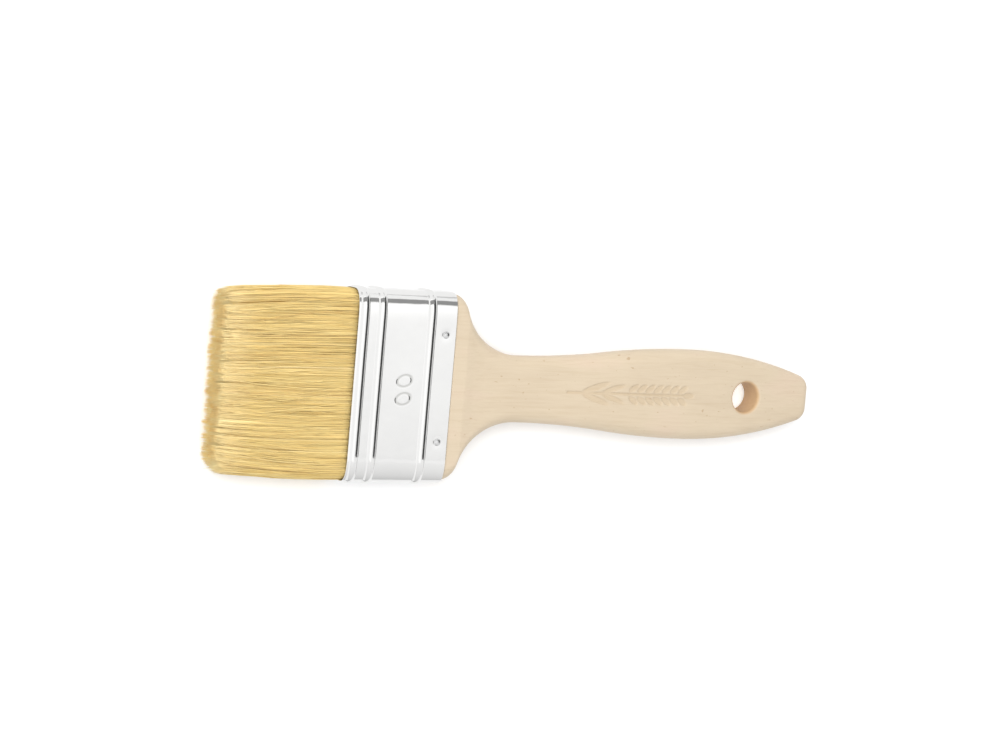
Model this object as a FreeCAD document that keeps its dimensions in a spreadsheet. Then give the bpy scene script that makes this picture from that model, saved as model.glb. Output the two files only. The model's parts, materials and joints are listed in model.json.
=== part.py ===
import FreeCAD, Part
import math
import os
import Sketcher

# A flat natural-bristle brush that lies on its back.
# Every body is drawn about the centre of the ferrule's mouth: +X runs towards the handle's end,
# -X towards the bristle tips, +Z out of the front face.  One shared placement then moves all of
# them so that the origin is under the middle of the whole brush, on the surface that it lies on.

doc = FreeCAD.newDocument("flat_brush")
sheet = doc.addObject("Spreadsheet::Sheet", "sizes")

# ---------------------------------------------------------------------------------------------
# Driving dimensions, millimetres and degrees
# ---------------------------------------------------------------------------------------------

SIZES = {
    # tinplate ferrule
    "ferrule_width": 60.0,
    "ferrule_thickness": 13.0,
    "ferrule_length": 33.7,
    "ferrule_corner": 5.1,
    "sheet_gauge": 0.35,
    "bead_width": 3.0,
    "bead_height": 0.55,
    "mouth_bead_place": 2.1,
    "second_bead_place": 8.0,
    "rear_bead_place": 25.0,
    # what is packed inside the ferrule, in order from the mouth
    "bristle_root_place": 17.0,
    "tenon_place": 24.2,
    "spacer_start": 3.0,
    "spacer_width": 52.0,
    "spacer_thickness": 2.1,
    "spacer_offset": 2.4,
    # bristles
    "bristle_length": 44.5,
    # nails
    "nail_place": 30.3,
    "nail_offset": 16.8,
    "nail_head_radius": 1.15,
    "nail_head_height": 0.4,
    "nail_shank_radius": 0.6,
    "nail_shank_length": 5.2,
    "nail_point_length": 1.2,
    # handle
    "handle_end": 170.5,
    "hang_hole_place": 144.4,
    "hang_hole_radius": 5.0,
    "hang_hole_rim": 1.2,
}

# Cross-sections of the handle: name, distance from the mouth, width, thickness, corner radius.
HANDLE_SECTIONS = [
    ("seat", 33.7, 58.8, 12.4, 4.9),
    ("shoulder", 35.0, 58.4, 12.4, 4.9),
    ("corner_start", 36.9, 56.8, 12.4, 4.9),
    ("corner_end", 38.4, 53.4, 12.4, 4.9),
    ("throat_start", 39.9, 46.6, 12.1, 4.8),
    ("throat_upper", 42.2, 38.8, 11.3, 4.6),
    ("throat_middle", 45.4, 31.9, 10.5, 4.3),
    ("throat_lower", 49.8, 25.8, 9.9, 4.2),
    ("throat_end", 55.2, 22.2, 9.6, 4.1),
    ("neck", 62.0, 21.2, 9.5, 4.1),
    ("grip_start", 76.0, 22.2, 9.9, 4.2),
    ("grip_middle", 92.0, 25.3, 10.9, 4.4),
    ("grip_end", 110.0, 28.6, 11.6, 4.6),
    ("belly", 124.0, 29.4, 11.3, 4.6),
    ("belly_end", 138.0, 28.0, 10.4, 4.3),
    ("hole_side", 150.0, 24.4, 9.5, 4.0),
    ("taper", 160.0, 19.8, 8.3, 3.6),
    ("tip_start", 166.4, 16.0, 7.0, 3.1),
    ("tip_round", 169.4, 11.8, 5.2, 2.3),
    ("tip", 170.5, 6.6, 2.8, 1.2),
]

# Cross-sections of the bundle of bristles, in the same order, at a distance in front of the mouth.
BUNDLE_SECTIONS = [
    ("bundle_mouth", 0.4, 59.3, 12.3, 4.75),
    ("bundle_flare", 5.0, 59.8, 12.9, 5.2),
    ("bundle_middle", 20.0, 58.8, 13.7, 5.6),
    ("bundle_full", 32.0, 57.4, 13.9, 5.8),
    ("bundle_edge", 40.0, 55.2, 13.3, 5.8),
    ("bundle_round", 43.4, 53.0, 11.6, 5.2),
    ("bundle_tips", 44.5, 50.0, 9.0, 4.0),
]

LABEL_COLUMN = "A"
VALUE_COLUMN = "B"


def fill_sheet():
    """Write every driving dimension into the sheet under its own alias."""
    cells = dict(SIZES)
    for name, place, width, thickness, corner in HANDLE_SECTIONS + BUNDLE_SECTIONS:
        cells[name + "_at"] = place
        cells[name + "_wide"] = width
        cells[name + "_thick"] = thickness
        cells[name + "_corner"] = corner
    for row, (alias, number) in enumerate(cells.items(), start=1):
        sheet.set(f"{LABEL_COLUMN}{row}", alias)
        sheet.set(f"{VALUE_COLUMN}{row}", str(number))
        sheet.setAlias(f"{VALUE_COLUMN}{row}", alias)
    doc.recompute()


def amount(expression):
    """The present value of an expression written in the sheet's aliases."""
    return float(sheet.evalExpression(expression))


def bound(expression):
    """The same expression as another object writes it, with the sheet's name before each alias."""
    words = []
    for word in expression.split():
        if word.replace("_", "").isalpha():
            word = "sizes." + word
        words.append(word)
    return " ".join(words)


fill_sheet()

SEAT_HEIGHT = "ferrule_thickness / 2 + bead_height"
MIDDLE_OF_LENGTH = "( handle_end - bristle_length ) / 2"


def shift_to_frame(piece, x="0", y="0", z="0"):
    """Move a sub-part drawn about the ferrule's mouth into the shared frame."""
    piece.setExpression("Placement.Base.x", bound(f"{x} - {MIDDLE_OF_LENGTH}"))
    piece.setExpression("Placement.Base.y", bound(y))
    piece.setExpression("Placement.Base.z", bound(f"{z} + {SEAT_HEIGHT}"))


# ---------------------------------------------------------------------------------------------
# Sketch helpers
# ---------------------------------------------------------------------------------------------

def new_body(label):
    body = doc.addObject("PartDesign::Body", label)
    body.Label = label
    return body


def new_sketch(body, name, plane_role, offset="0"):
    """A sketch on one of the body's own origin planes, lifted off it by the offset."""
    sketch = body.newObject("Sketcher::SketchObject", name)
    plane = next(item for item in body.Origin.OriginFeatures if item.Role == plane_role)
    sketch.AttachmentSupport = (plane, "")
    sketch.MapMode = "FlatFace"
    sketch.setExpression("AttachmentOffset.Base.z", bound(offset))
    return sketch


def fix(sketch, name, kind, *arguments, to):
    """Add a dimension, give it a name and tie it to the sheet."""
    sketch.addConstraint(Sketcher.Constraint(kind, *arguments, amount(to)))
    sketch.renameConstraint(sketch.ConstraintCount - 1, name)
    sketch.setExpression(f"Constraints.{name}", bound(to))


def draw_rounded_rectangle(sketch, width, height, corner):
    """A rectangle about the sketch's origin with four equal round corners."""
    half_width = amount(width) / 2
    half_height = amount(height) / 2
    radius = amount(corner)
    inner_x = half_width - radius
    inner_y = half_height - radius
    up = FreeCAD.Vector(0, 0, 1)
    corners = [(inner_x, inner_y), (-inner_x, inner_y), (-inner_x, -inner_y), (inner_x, -inner_y)]
    arcs = []
    for quarter, (x, y) in enumerate(corners):
        circle = Part.Circle(FreeCAD.Vector(x, y, 0), up, radius)
        first = quarter * math.pi / 2
        arcs.append(sketch.addGeometry(Part.ArcOfCircle(circle, first, first + math.pi / 2)))
    lines = []
    for index, arc in enumerate(arcs):
        following = arcs[(index + 1) % 4]
        leave = sketch.getPoint(arc, 2)
        arrive = sketch.getPoint(following, 1)
        lines.append(sketch.addGeometry(Part.LineSegment(leave, arrive)))
    for index, line in enumerate(lines):
        sketch.addConstraint(Sketcher.Constraint("Tangent", arcs[index], 2, line, 1))
        sketch.addConstraint(Sketcher.Constraint("Tangent", line, 2, arcs[(index + 1) % 4], 1))
    top, left = lines[0], lines[1]
    bottom, right = lines[2], lines[3]
    sketch.addConstraint(Sketcher.Constraint("Horizontal", top))
    sketch.addConstraint(Sketcher.Constraint("Vertical", left))
    sketch.addConstraint(Sketcher.Constraint("Horizontal", bottom))
    sketch.addConstraint(Sketcher.Constraint("Vertical", right))
    for arc in arcs[1:]:
        sketch.addConstraint(Sketcher.Constraint("Equal", arcs[0], arc))
    sketch.addConstraint(Sketcher.Constraint("Symmetric", arcs[0], 3, arcs[2], 3, -1, 1))
    fix(sketch, "width", "DistanceX", left, 1, right, 1, to=width)
    fix(sketch, "height", "DistanceY", bottom, 1, top, 1, to=height)
    fix(sketch, "corner", "Radius", arcs[0], to=corner)


def draw_polygon(sketch, name, points):
    """A closed outline through corners whose two coordinates are both tied to the sheet."""
    places = [FreeCAD.Vector(amount(x), amount(y), 0) for x, y in points]
    lines = []
    for index, start in enumerate(places):
        finish = places[(index + 1) % len(places)]
        lines.append(sketch.addGeometry(Part.LineSegment(start, finish)))
    for index, line in enumerate(lines):
        following = lines[(index + 1) % len(lines)]
        sketch.addConstraint(Sketcher.Constraint("Coincident", line, 2, following, 1))
        pin_point(sketch, f"{name}_{index}", line, 1, *points[index])


def pin_point(sketch, name, geometry, point, x, y):
    """Tie one point of the sketch to a place given by two expressions."""
    if abs(amount(x)) < 1e-9:
        sketch.addConstraint(Sketcher.Constraint("PointOnObject", geometry, point, -2))
    else:
        fix(sketch, name + "_x", "DistanceX", -1, 1, geometry, point, to=x)
    if abs(amount(y)) < 1e-9:
        sketch.addConstraint(Sketcher.Constraint("PointOnObject", geometry, point, -1))
    else:
        fix(sketch, name + "_y", "DistanceY", -1, 1, geometry, point, to=y)


def loft_sections(body, sections, sign):
    """An additive loft through rounded rectangles that stand across the brush's length."""
    sketches = []
    for name, *_ in sections:
        sketch = new_sketch(body, name, "YZ_Plane", f"{sign} {name}_at")
        draw_rounded_rectangle(sketch, f"{name}_wide", f"{name}_thick", f"{name}_corner")
        sketches.append(sketch)
    doc.recompute()
    loft = body.newObject("PartDesign::AdditiveLoft", "loft")
    loft.Profile = sketches[0]
    loft.Sections = sketches[1:]
    loft.Ruled = False
    doc.recompute()
    return loft


# ---------------------------------------------------------------------------------------------
# Ferrule: one strip of tinplate, bent round and rolled with three raised beads
# ---------------------------------------------------------------------------------------------

BEAD_RADIUS = "( bead_width ^ 2 / 4 + bead_height ^ 2 ) / ( 2 * bead_height )"
LINING_RADIUS = f"{BEAD_RADIUS} - sheet_gauge"
BEADS = ["mouth_bead", "second_bead", "rear_bead"]
FACE = "ferrule_thickness / 2"
LINING = "ferrule_thickness / 2 - sheet_gauge"
INNER_WIDTH = "ferrule_width - 2 * sheet_gauge"
INNER_THICKNESS = "ferrule_thickness - 2 * sheet_gauge"
INNER_CORNER = "ferrule_corner - sheet_gauge"


# A sketched arc runs counter-clockwise, so over a bead its first point is the one towards the back.
ARC_BACK_END = 1
ARC_MOUTH_END = 2
LINE_START = 1
LINE_END = 2


def draw_beaded_line(sketch, height, half_bead, rise):
    """One side of the sheet, from the mouth to the back edge: straight runs and, over each bead, an arc."""
    y = amount(height)
    runs = []
    arcs = []
    start = FreeCAD.Vector(0, y, 0)
    for bead in BEADS:
        place = amount(bead + "_place")
        left = FreeCAD.Vector(place - half_bead, y, 0)
        right = FreeCAD.Vector(place + half_bead, y, 0)
        crown = FreeCAD.Vector(place, y + rise, 0)
        runs.append(sketch.addGeometry(Part.LineSegment(start, left)))
        arcs.append(sketch.addGeometry(Part.Arc(left, crown, right)))
        start = right
    finish = FreeCAD.Vector(amount("ferrule_length"), y, 0)
    runs.append(sketch.addGeometry(Part.LineSegment(start, finish)))
    for index, arc in enumerate(arcs):
        join(sketch, runs[index], LINE_END, arc, ARC_MOUTH_END)
        join(sketch, arc, ARC_BACK_END, runs[index + 1], LINE_START)
    for index, run in enumerate(runs):
        sketch.addConstraint(Sketcher.Constraint("Horizontal", run))
        fix(sketch, f"run{index}_of_line{runs[0]}", "DistanceY", -1, 1, run, LINE_START, to=height)
    return runs, arcs


def join(sketch, first, first_point, second, second_point):
    sketch.addConstraint(Sketcher.Constraint("Coincident", first, first_point, second, second_point))


def close_edge(sketch, outer, inner, point):
    """The cut edge of the sheet, at the mouth or at the back, between its two sides."""
    ends = [sketch.getPoint(side, point) for side in (outer, inner)]
    edge = sketch.addGeometry(Part.LineSegment(*ends))
    join(sketch, outer, point, edge, LINE_START)
    join(sketch, inner, point, edge, LINE_END)
    sketch.addConstraint(Sketcher.Constraint("Vertical", edge))


def draw_ferrule_wall(sketch):
    """The wall of the ferrule cut along the brush's length: sheet of even gauge with three beads."""
    half_bead = amount("bead_width / 2")
    outer_radius = amount(BEAD_RADIUS)
    inner_radius = amount(LINING_RADIUS)
    centre_depth = outer_radius - amount("bead_height")
    lining_depth = centre_depth - amount("sheet_gauge")
    inner_half_bead = (inner_radius ** 2 - lining_depth ** 2) ** 0.5

    outer_runs, outer_arcs = draw_beaded_line(sketch, FACE, half_bead, amount("bead_height"))
    inner_runs, inner_arcs = draw_beaded_line(sketch, LINING, inner_half_bead, inner_radius - lining_depth)
    for bead, outer, inner in zip(BEADS, outer_arcs, inner_arcs):
        half = "bead_width / 2"
        fix(sketch, bead + "_start", "DistanceX", -1, 1, outer, ARC_MOUTH_END, to=f"{bead}_place - {half}")
        fix(sketch, bead + "_end", "DistanceX", -1, 1, outer, ARC_BACK_END, to=f"{bead}_place + {half}")
        fix(sketch, bead + "_radius", "Radius", outer, to=BEAD_RADIUS)
        fix(sketch, bead + "_lining", "Radius", inner, to=LINING_RADIUS)
        join(sketch, inner, 3, outer, 3)
    close_edge(sketch, outer_runs[0], inner_runs[0], LINE_START)
    close_edge(sketch, outer_runs[-1], inner_runs[-1], LINE_END)
    sketch.addConstraint(Sketcher.Constraint("PointOnObject", outer_runs[0], LINE_START, -2))
    fix(sketch, "length", "DistanceX", -1, 1, outer_runs[-1], LINE_END, to="ferrule_length")


def make_ferrule():
    body = new_body("ferrule")
    outline = new_sketch(body, "ferrule_outline", "YZ_Plane")
    draw_rounded_rectangle(outline, "ferrule_width", "ferrule_thickness", "ferrule_corner")
    wall = new_sketch(body, "ferrule_wall", "XZ_Plane", "ferrule_corner - ferrule_width / 2")
    draw_ferrule_wall(wall)
    doc.recompute()
    pipe = body.newObject("PartDesign::AdditivePipe", "ferrule_sheet")
    pipe.Profile = wall
    pipe.Spine = (outline, [f"Edge{index + 1}" for index in range(8)])
    pipe.Transition = "Round corner"
    doc.recompute()
    drill_nail_holes(body, "XY_Plane", "0", "nail_holes")
    shift_to_frame(body)
    return body


def drill_nail_holes(body, plane_role, offset, name):
    """Two holes straight through, for the shanks of the nails on both faces."""
    sketch = new_sketch(body, name, plane_role, offset)
    draw_nail_circles(sketch)
    doc.recompute()
    before = body.Shape.Volume
    pocket = body.newObject("PartDesign::Pocket", name + "_cut")
    pocket.Profile = sketch
    pocket.SideType = "Symmetric"
    pocket.setExpression("Length", bound("ferrule_thickness * 2"))
    doc.recompute()
    require_smaller(body, before)


def draw_nail_circles(sketch):
    for side, place in (("right", "nail_offset"), ("left", "- nail_offset")):
        centre = FreeCAD.Vector(amount("nail_place"), amount(place), 0)
        circle = Part.Circle(centre, FreeCAD.Vector(0, 0, 1), amount("nail_shank_radius"))
        hole = sketch.addGeometry(circle)
        pin_point(sketch, side, hole, 3, "nail_place", place)
        fix(sketch, side + "_radius", "Radius", hole, to="nail_shank_radius")


def require_smaller(body, before):
    """A cut that misses the solid shows no error, so its volume is compared."""
    if body.Shape.Volume >= before:
        raise RuntimeError(body.Label + ": the last cut removed nothing")


# ---------------------------------------------------------------------------------------------
# Nails: four small round-headed tacks, two through each face of the ferrule into the tenon
# ---------------------------------------------------------------------------------------------

NAIL_DOME_RADIUS = "( nail_head_radius ^ 2 + nail_head_height ^ 2 ) / ( 2 * nail_head_height )"


def make_nail(label, y, faces_up):
    """A tack turned about Z, with the underside of its head at the origin."""
    body = new_body(label)
    profile = new_sketch(body, label + "_profile", "XZ_Plane")
    head_radius = amount("nail_head_radius")
    head_height = amount("nail_head_height")
    shank = amount("nail_shank_radius")
    depth = amount("nail_shank_length")
    point = depth + amount("nail_point_length")
    crown = FreeCAD.Vector(0, head_height, 0)
    brim = FreeCAD.Vector(head_radius, 0, 0)
    neck = FreeCAD.Vector(shank, 0, 0)
    foot = FreeCAD.Vector(shank, -depth, 0)
    tip = FreeCAD.Vector(0, -point, 0)
    dome_radius = amount(NAIL_DOME_RADIUS)
    dome_centre = FreeCAD.Vector(0, head_height - dome_radius, 0)
    middle = dome_centre + ((brim - dome_centre) + (crown - dome_centre)).normalize() * dome_radius
    dome = profile.addGeometry(Part.Arc(brim, middle, crown))
    axis = profile.addGeometry(Part.LineSegment(crown, tip))
    cone = profile.addGeometry(Part.LineSegment(tip, foot))
    side = profile.addGeometry(Part.LineSegment(foot, neck))
    underside = profile.addGeometry(Part.LineSegment(neck, brim))
    profile.addConstraint(Sketcher.Constraint("Coincident", axis, 1, dome, 2))
    profile.addConstraint(Sketcher.Constraint("Coincident", dome, 1, underside, 2))
    for line, following in ((axis, cone), (cone, side), (side, underside)):
        profile.addConstraint(Sketcher.Constraint("Coincident", line, 2, following, 1))
    profile.addConstraint(Sketcher.Constraint("PointOnObject", dome, 3, -2))
    pin_point(profile, "crown", axis, 1, "0", "nail_head_height")
    pin_point(profile, "tip", cone, 1, "0", "- nail_shank_length - nail_point_length")
    pin_point(profile, "foot", side, 1, "nail_shank_radius", "- nail_shank_length")
    pin_point(profile, "neck", underside, 1, "nail_shank_radius", "0")
    pin_point(profile, "brim", underside, 2, "nail_head_radius", "0")
    doc.recompute()
    turned = body.newObject("PartDesign::Revolution", label + "_turned")
    turned.Profile = profile
    turned.ReferenceAxis = (profile, ["V_Axis"])
    turned.Angle = 360
    shift_to_frame(body, "nail_place", y, FACE if faces_up else f"- {FACE}")
    if not faces_up:
        body.Placement.Rotation = FreeCAD.Rotation(FreeCAD.Vector(1, 0, 0), 180)
    return body


def make_nails():
    nails = []
    for face, faces_up in (("front", True), ("back", False)):
        for side, y in (("right", "nail_offset"), ("left", "- nail_offset")):
            nails.append(make_nail(f"{face}_nail_{side}", y, faces_up))
    return nails


# ---------------------------------------------------------------------------------------------
# What the ferrule holds: two wooden spacer strips set in a block of hardened resin
# ---------------------------------------------------------------------------------------------

def pad_between(body, sketch, length):
    pad = body.newObject("PartDesign::Pad", sketch.Name + "_pad")
    pad.Profile = sketch
    pad.setExpression("Length", bound(length))
    doc.recompute()
    return pad


SPACERS = [("front_spacer", "spacer_offset"), ("back_spacer", "- spacer_offset")]


def spacer_corners(z):
    """The four corners of a spacer's section, which is also its slot in the resin."""
    half = "spacer_width / 2"
    low = f"{z} - spacer_thickness / 2"
    high = f"{z} + spacer_thickness / 2"
    return [(half, low), (half, high), (f"- {half}", high), (f"- {half}", low)]


def make_spacer(label, z):
    body = new_body(label)
    sketch = new_sketch(body, label + "_section", "YZ_Plane", "spacer_start")
    draw_polygon(sketch, "edge", spacer_corners(z))
    doc.recompute()
    pad_between(body, sketch, "tenon_place - spacer_start")
    shift_to_frame(body)
    return body


def make_resin_block():
    """The resin fills the ferrule behind the bristle roots and grips the ends of the spacers."""
    body = new_body("resin_block")
    sketch = new_sketch(body, "resin_section", "YZ_Plane", "bristle_root_place")
    draw_rounded_rectangle(sketch, INNER_WIDTH, INNER_THICKNESS, INNER_CORNER)
    doc.recompute()
    pad_between(body, sketch, "tenon_place - bristle_root_place")
    slots = new_sketch(body, "spacer_slots", "YZ_Plane", "bristle_root_place")
    for name, z in SPACERS:
        draw_polygon(slots, name, spacer_corners(z))
    doc.recompute()
    before = body.Shape.Volume
    cut = body.newObject("PartDesign::Pocket", "spacer_slots_cut")
    cut.Profile = slots
    cut.SideType = "Symmetric"
    cut.setExpression("Length", bound("spacer_width"))
    doc.recompute()
    require_smaller(body, before)
    shift_to_frame(body)
    return body


# ---------------------------------------------------------------------------------------------
# Bristles: three banks that the spacers part at the root and that close up beyond the mouth
# ---------------------------------------------------------------------------------------------

BANK_SPLIT = "spacer_offset"
SPACER_LOW = "spacer_offset - spacer_thickness / 2"
SPACER_HIGH = "spacer_offset + spacer_thickness / 2"
BEYOND_TIPS = "- bristle_length - spacer_thickness"
BEYOND_ROOTS = "bristle_root_place + spacer_thickness"


def beside_bank(step_height, far, sign):
    """A stepped outline of everything on one side of a bank, seen along the brush's width."""
    split = f"{sign} {BANK_SPLIT}"
    step = f"{sign} ( {step_height} )"
    return [
        (BEYOND_TIPS, far),
        (BEYOND_TIPS, split),
        ("spacer_start", split),
        ("spacer_start", step),
        (BEYOND_ROOTS, step),
        (BEYOND_ROOTS, far),
    ]


BANKS = [
    ("front_bristles", [beside_bank(SPACER_HIGH, "- ferrule_thickness", "")]),
    ("middle_bristles", [
        beside_bank(SPACER_LOW, "ferrule_thickness", ""),
        beside_bank(SPACER_LOW, "- ferrule_thickness", "-"),
    ]),
    ("back_bristles", [beside_bank(SPACER_HIGH, "ferrule_thickness", "-")]),
]


def make_bank(label, outlines):
    body = new_body(label)
    loft = loft_sections(body, BUNDLE_SECTIONS, "-")
    pad_between(body, loft.Profile[0], "bristle_root_place + bundle_mouth_at")
    for number, outline in enumerate(outlines):
        sketch = new_sketch(body, f"beside_{label}_{number}", "XZ_Plane")
        draw_polygon(sketch, "edge", outline)
        doc.recompute()
        before = body.Shape.Volume
        cut = body.newObject("PartDesign::Pocket", sketch.Name + "_cut")
        cut.Profile = sketch
        cut.SideType = "Symmetric"
        cut.setExpression("Length", bound("ferrule_width * 2"))
        doc.recompute()
        require_smaller(body, before)
    shift_to_frame(body)
    return body


# ---------------------------------------------------------------------------------------------
# Handle: one piece of beech, with a tenon that fills the back of the ferrule
# ---------------------------------------------------------------------------------------------

def drill_tenon(body, name, height, faces_up):
    """Two blind holes with pointed ends, the shape that the nails fill."""
    sketch = new_sketch(body, name, "XY_Plane", height)
    draw_nail_circles(sketch)
    doc.recompute()
    before = body.Shape.Volume
    hole = body.newObject("PartDesign::Hole", name + "_drilled")
    hole.Profile = sketch
    hole.DepthType = "Dimension"
    hole.DrillPoint = "Angled"
    hole.Reversed = not faces_up
    doc.recompute()
    hole.setExpression("Diameter", bound("nail_shank_radius * 2"))
    hole.setExpression("Depth", bound("nail_shank_length - sheet_gauge"))
    hole.setExpression("DrillPointAngle", bound("2 * atan( nail_shank_radius / nail_point_length )"))
    doc.recompute()
    require_smaller(body, before)


def is_hang_hole_rim(edge):
    box = edge.BoundBox
    reach = amount("hang_hole_radius") * 2
    near = abs(box.Center.x - amount("hang_hole_place")) < reach / 2
    return near and abs(box.YLength - reach) < 0.1 * reach and box.ZLength < reach / 2


def drill_hang_hole(body):
    """A hole right through near the handle's end, with rounded rims."""
    sketch = new_sketch(body, "hang_hole_circle", "XY_Plane")
    centre = FreeCAD.Vector(amount("hang_hole_place"), 0, 0)
    circle = sketch.addGeometry(Part.Circle(centre, FreeCAD.Vector(0, 0, 1), amount("hang_hole_radius")))
    pin_point(sketch, "centre", circle, 3, "hang_hole_place", "0")
    fix(sketch, "hole_radius", "Radius", circle, to="hang_hole_radius")
    doc.recompute()
    before = body.Shape.Volume
    cut = body.newObject("PartDesign::Pocket", "hang_hole")
    cut.Profile = sketch
    cut.SideType = "Symmetric"
    cut.setExpression("Length", bound("ferrule_thickness * 2"))
    doc.recompute()
    require_smaller(body, before)
    edges = enumerate(cut.Shape.Edges, start=1)
    rims = [f"Edge{number}" for number, edge in edges if is_hang_hole_rim(edge)]
    rounding = body.newObject("PartDesign::Fillet", "hang_hole_rims")
    rounding.Base = (cut, rims)
    rounding.setExpression("Radius", bound("hang_hole_rim"))
    doc.recompute()


def make_handle():
    body = new_body("handle")
    loft_sections(body, HANDLE_SECTIONS, "")
    tenon = new_sketch(body, "tenon_section", "YZ_Plane", "tenon_place")
    draw_rounded_rectangle(tenon, INNER_WIDTH, INNER_THICKNESS, INNER_CORNER)
    doc.recompute()
    pad_between(body, tenon, "ferrule_length - tenon_place")
    drill_tenon(body, "front_nail_holes", LINING, True)
    drill_tenon(body, "back_nail_holes", f"- ( {LINING} )", False)
    drill_hang_hole(body)
    shift_to_frame(body)
    return body


# ---------------------------------------------------------------------------------------------
# The whole brush, checked and written one file to a sub-part
# ---------------------------------------------------------------------------------------------

def make_brush():
    pieces = [make_handle(), make_ferrule(), make_resin_block()]
    pieces += make_nails()
    pieces += [make_spacer(label, z) for label, z in SPACERS]
    pieces += [make_bank(label, outlines) for label, outlines in BANKS]
    doc.recompute()
    return pieces


def check_document(pieces):
    for item in doc.Objects:
        if "Invalid" in item.State or "Error" in item.State:
            raise RuntimeError(f"{item.Name} did not rebuild: {item.State}")
    for piece in pieces:
        if piece.Shape.isNull() or not piece.Shape.isValid() or len(piece.Shape.Solids) != 1:
            raise RuntimeError(f"{piece.Label} is not one valid solid")


def write_pieces(pieces):
    os.makedirs("parts", exist_ok=True)
    for piece in pieces:
        piece.Shape.exportStep(os.path.join("parts", piece.Label + ".step"))


brush = make_brush()
check_document(brush)
write_pieces(brush)
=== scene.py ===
import json
import math

import bmesh
import bpy
import numpy as np
from mathutils import Matrix, Vector


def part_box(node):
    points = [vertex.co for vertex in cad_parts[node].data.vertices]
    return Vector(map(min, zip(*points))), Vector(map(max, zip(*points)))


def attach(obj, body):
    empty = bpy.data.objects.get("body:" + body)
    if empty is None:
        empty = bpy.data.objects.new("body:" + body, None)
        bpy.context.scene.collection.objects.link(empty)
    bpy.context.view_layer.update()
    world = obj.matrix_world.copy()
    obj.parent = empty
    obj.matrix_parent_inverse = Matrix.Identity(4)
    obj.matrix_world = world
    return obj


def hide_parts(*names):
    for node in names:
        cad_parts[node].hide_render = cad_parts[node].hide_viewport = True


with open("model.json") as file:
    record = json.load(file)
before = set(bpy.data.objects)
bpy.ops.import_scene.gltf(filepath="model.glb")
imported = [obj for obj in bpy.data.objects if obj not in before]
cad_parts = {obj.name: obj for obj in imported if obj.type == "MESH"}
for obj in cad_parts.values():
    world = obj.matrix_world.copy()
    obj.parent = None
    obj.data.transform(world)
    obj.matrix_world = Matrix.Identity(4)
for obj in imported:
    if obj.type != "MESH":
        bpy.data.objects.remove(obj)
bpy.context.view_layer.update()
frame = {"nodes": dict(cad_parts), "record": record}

# The script works in metres.  Sizes that a brush maker would give are written in millimetres, and
# distances along the brush are measured from the ferrule's mouth, + towards the handle's end.
MM = 0.001
SEED = 7

ferrule_low, ferrule_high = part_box("ferrule")
handle_low, handle_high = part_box("handle")
MOUTH = ferrule_low.x
BACK_EDGE = (ferrule_high.x - MOUTH) / MM
HANDLE_END = (handle_high.x - MOUTH) / MM
TENON_START = (handle_low.x - MOUTH) / MM
MIDDLE_HEIGHT = (ferrule_low.z + ferrule_high.z) / 2
BRISTLE_LENGTH = (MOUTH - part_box("front_bristles")[0].x) / MM

# The ferrule's sheet, as the CAD has it.
WIDTH = 60.0
THICKNESS = 13.0
CORNER = 5.1
GAUGE = 0.35


def to_frame(points):
    """Points in millimetres about the ferrule's mouth, as metres in the shared frame."""
    shift = np.array([MOUTH, 0.0, MIDDLE_HEIGHT])
    return np.asarray(points, float) * MM + shift


def smooth_step(value):
    value = np.clip(value, 0.0, 1.0)
    return value * value * (3.0 - 2.0 * value)


# ---------------------------------------------------------------------------------------------
# Mesh helpers
# ---------------------------------------------------------------------------------------------

def add_mesh(name, points, faces, replaced):
    """A smooth mesh piece that rides on the brush, from points in millimetres about the mouth."""
    mesh = bpy.data.meshes.new(name)
    mesh.from_pydata(to_frame(points).tolist(), [], faces)
    mesh.validate()
    mesh.update()
    mesh.shade_smooth()
    piece = bpy.data.objects.new(name, mesh)
    bpy.context.scene.collection.objects.link(piece)
    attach(piece, "root")
    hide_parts(*replaced)
    return piece


def add_attribute(piece, name, values):
    """One number for every point, for the material to read."""
    mark = piece.data.attributes.new(name, "FLOAT", "POINT")
    mark.data.foreach_set("value", np.asarray(values, np.float32))


def grid_faces(rows, columns, close_rows=False, close_columns=False, skip=()):
    """Quads between neighbouring points of a grid whose points are numbered row by row."""
    faces = []
    for row in range(rows if close_rows else rows - 1):
        below = (row + 1) % rows
        for column in range(columns if close_columns else columns - 1):
            if (row, column) in skip:
                continue
            right = (column + 1) % columns
            faces.append((
                row * columns + column,
                row * columns + right,
                below * columns + right,
                below * columns + column,
            ))
    return faces


def ring_faces(outer, inner):
    """Quads between two closed rings with the same number of points."""
    count = len(outer)
    return [(outer[i], outer[(i + 1) % count], inner[(i + 1) % count], inner[i]) for i in range(count)]


def merge_close_points(piece):
    """Weld the rings that have shrunk to a point and turn every face outwards."""
    work = bmesh.new()
    work.from_mesh(piece.data)
    bmesh.ops.remove_doubles(work, verts=work.verts, dist=1e-7)
    bmesh.ops.recalc_face_normals(work, faces=work.faces)
    work.to_mesh(piece.data)
    work.free()
    piece.data.shade_smooth()


def spread(*stretches):
    """Places along a line: each stretch is (start, end, largest gap), and the gaps in it are even."""
    places = []
    for start, end, gap in stretches:
        count = max(1, math.ceil((end - start) / gap))
        places += list(np.linspace(start, end, count + 1)[:-1])
    places.append(stretches[-1][1])
    return np.array(places)


# ---------------------------------------------------------------------------------------------
# Ferrule: tinplate sheet with rolled beads, two pressed ovals and a dent round each nail
# ---------------------------------------------------------------------------------------------

BEADS = (2.1, 8.0, 25.0)
BEAD_HALF = 1.5
BEAD_HEIGHT = 0.52
BEAD_FOOT = 0.1
BEAD_MARGIN = 0.1
EDGE_ROUND = 0.08
EDGE_MARGIN = 0.05

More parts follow.
